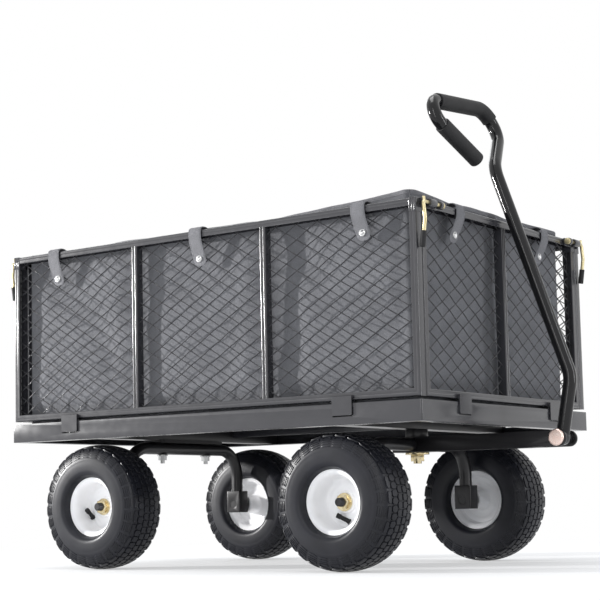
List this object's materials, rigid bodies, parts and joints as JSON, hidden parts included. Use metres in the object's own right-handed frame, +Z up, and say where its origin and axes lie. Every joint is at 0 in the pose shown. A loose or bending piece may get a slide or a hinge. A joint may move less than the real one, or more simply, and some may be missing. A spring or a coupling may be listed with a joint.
{
  "type": "garden cart",
  "caption": "Garden cart with fold-down mesh sides, a snap-in fabric liner, pneumatic tyres, a steered front axle and a loop pull handle.",
  "frame": {"origin": "on the ground under the middle of the whole cart, drawbar included", "axes": "+X forward, the handle end; +Y to the cart's left; +Z up"},
  "size_m": [1.1506, 0.6666, 0.9082],
  "materials": {
    "bed_paint": "satin powder coat",
    "panel_paint": "satin powder coat",
    "mesh_wire": "satin powder coat",
    "black_steel": "satin black",
    "handle_gloss": "gloss black",
    "yellow_zinc": "yellow zinc plate",
    "pale_zinc": "pale zinc plate",
    "grey_zinc": "grey zinc plate",
    "copper_zinc": "pink-copper plate",
    "tyre_rubber": "matte rubber with blocky tread",
    "rim_paint": "gloss white",
    "grip_rubber": "matte",
    "liner_fabric": "woven polyester",
    "strap_fabric": "woven polyester webbing"
  },
  "bodies": {
    "root": {"bed_end_rails": "bed_paint", "bed_side_rails": "bed_paint", "cross_beams": "black_steel", "deck_mesh": "mesh_wire", "front_panel_frame": "panel_paint", "front_panel_latch_guides": "panel_paint", "front_panel_mesh": "mesh_wire", "front_panel_straps": "strap_fabric", "kingpin": "yellow_zinc", "kingpin_bush": "black_steel", "kingpin_nut": "yellow_zinc", "liner_floor": "liner_fabric", "liner_wall_front": "liner_fabric", "rear_axle_arch": "black_steel", "rear_axle_bolts": "grey_zinc", "rear_axle_feet": "black_steel", "rear_axle_nuts": "yellow_zinc", "rear_stub_axles": "black_steel", "stringers": "black_steel"},
    "right_side": {"right_panel_frame": "panel_paint", "right_panel_mesh": "mesh_wire", "right_panel_straps": "strap_fabric", "liner_wall_right": "liner_fabric", "right_panel_keepers": "panel_paint"},
    "left_side": {"left_panel_frame": "panel_paint", "left_panel_mesh": "mesh_wire", "left_panel_straps": "strap_fabric", "liner_wall_left": "liner_fabric", "left_panel_keepers": "panel_paint"},
    "rear_end": {"rear_panel_frame": "panel_paint", "rear_panel_mesh": "mesh_wire", "rear_panel_straps": "strap_fabric", "liner_wall_rear": "liner_fabric", "rear_panel_latch_guides": "panel_paint"},
    "front_right_latch_lever": {"front_right_latch": "pale_zinc", "front_right_latch_sleeve": "grip_rubber"},
    "front_right_wheel": {"front_right_tyre": "tyre_rubber", "front_right_rim": "rim_paint"},
    "front_left_latch_lever": {"front_left_latch": "pale_zinc", "front_left_latch_sleeve": "grip_rubber"},
    "front_left_wheel": {"front_left_tyre": "tyre_rubber", "front_left_rim": "rim_paint"},
    "rear_right_latch_lever": {"rear_right_latch": "pale_zinc", "rear_right_latch_sleeve": "grip_rubber"},
    "rear_right_wheel": {"rear_right_tyre": "tyre_rubber", "rear_right_rim": "rim_paint"},
    "rear_left_latch_lever": {"rear_left_latch": "pale_zinc", "rear_left_latch_sleeve": "grip_rubber"},
    "rear_left_wheel": {"rear_left_tyre": "tyre_rubber", "rear_left_rim": "rim_paint"},
    "steering": {"front_axle_arch": "black_steel", "front_axle_feet": "black_steel", "front_stub_axles": "black_steel", "front_axle_nuts": "yellow_zinc", "drawbar": "black_steel", "drawbar_bolt": "yellow_zinc", "handle_pin": "copper_zinc"},
    "handle": {"handle_tube": "handle_gloss", "handle_grips": "grip_rubber"}
  },
  "joints": [
    {"name": "right_side_fold", "type": "hinge", "parent": "root", "child": "right_side", "pos_m": [-0.05978, -0.3303, 0.284], "axis": [1, 0, 0], "range_deg": [0, 90]},
    {"name": "left_side_fold", "type": "hinge", "parent": "root", "child": "left_side", "pos_m": [-0.05978, 0.3303, 0.284], "axis": [-1, 0, 0], "range_deg": [0, 90]},
    {"name": "rear_end_fold", "type": "hinge", "parent": "root", "child": "rear_end", "pos_m": [-0.56008, 0, 0.284], "axis": [0, -1, 0], "range_deg": [0, 90]},
    {"name": "steering_swivel", "type": "hinge", "parent": "root", "child": "steering", "pos_m": [0.23022, 0, 0.23705], "axis": [0, 0, 1], "range_deg": [-14, 14]},
    {"name": "handle_swing", "type": "hinge", "parent": "steering", "child": "handle", "pos_m": [0.54322, 0, 0.23855], "axis": [0, 1, 0], "range_deg": [0, 120]},
    {"name": "front_right_wheel_roll", "type": "hinge", "parent": "steering", "child": "front_right_wheel", "pos_m": [0.23022, -0.265, 0.127], "axis": [0, 1, 0], "continuous": true},
    {"name": "front_left_wheel_roll", "type": "hinge", "parent": "steering", "child": "front_left_wheel", "pos_m": [0.23022, 0.265, 0.127], "axis": [0, 1, 0], "continuous": true},
    {"name": "rear_right_wheel_roll", "type": "hinge", "parent": "root", "child": "rear_right_wheel", "pos_m": [-0.36478, -0.265, 0.127], "axis": [0, 1, 0], "continuous": true},
    {"name": "rear_left_wheel_roll", "type": "hinge", "parent": "root", "child": "rear_left_wheel", "pos_m": [-0.36478, 0.265, 0.127], "axis": [0, 1, 0], "continuous": true},
    {"name": "front_right_latch_turn", "type": "hinge", "parent": "root", "child": "front_right_latch_lever", "pos_m": [0.44822, -0.3, 0.65], "axis": [0, -1, 0], "range_deg": [0, 90]},
    {"name": "front_left_latch_turn", "type": "hinge", "parent": "root", "child": "front_left_latch_lever", "pos_m": [0.44822, 0.3, 0.65], "axis": [0, -1, 0], "range_deg": [0, 90]},
    {"name": "rear_right_latch_turn", "type": "hinge", "parent": "rear_end", "child": "rear_right_latch_lever", "pos_m": [-0.56778, -0.3, 0.65], "axis": [0, 1, 0], "range_deg": [0, 90]},
    {"name": "rear_left_latch_turn", "type": "hinge", "parent": "rear_end", "child": "rear_left_latch_lever", "pos_m": [-0.56778, 0.3, 0.65], "axis": [0, 1, 0], "range_deg": [0, 90]}
  ]
}
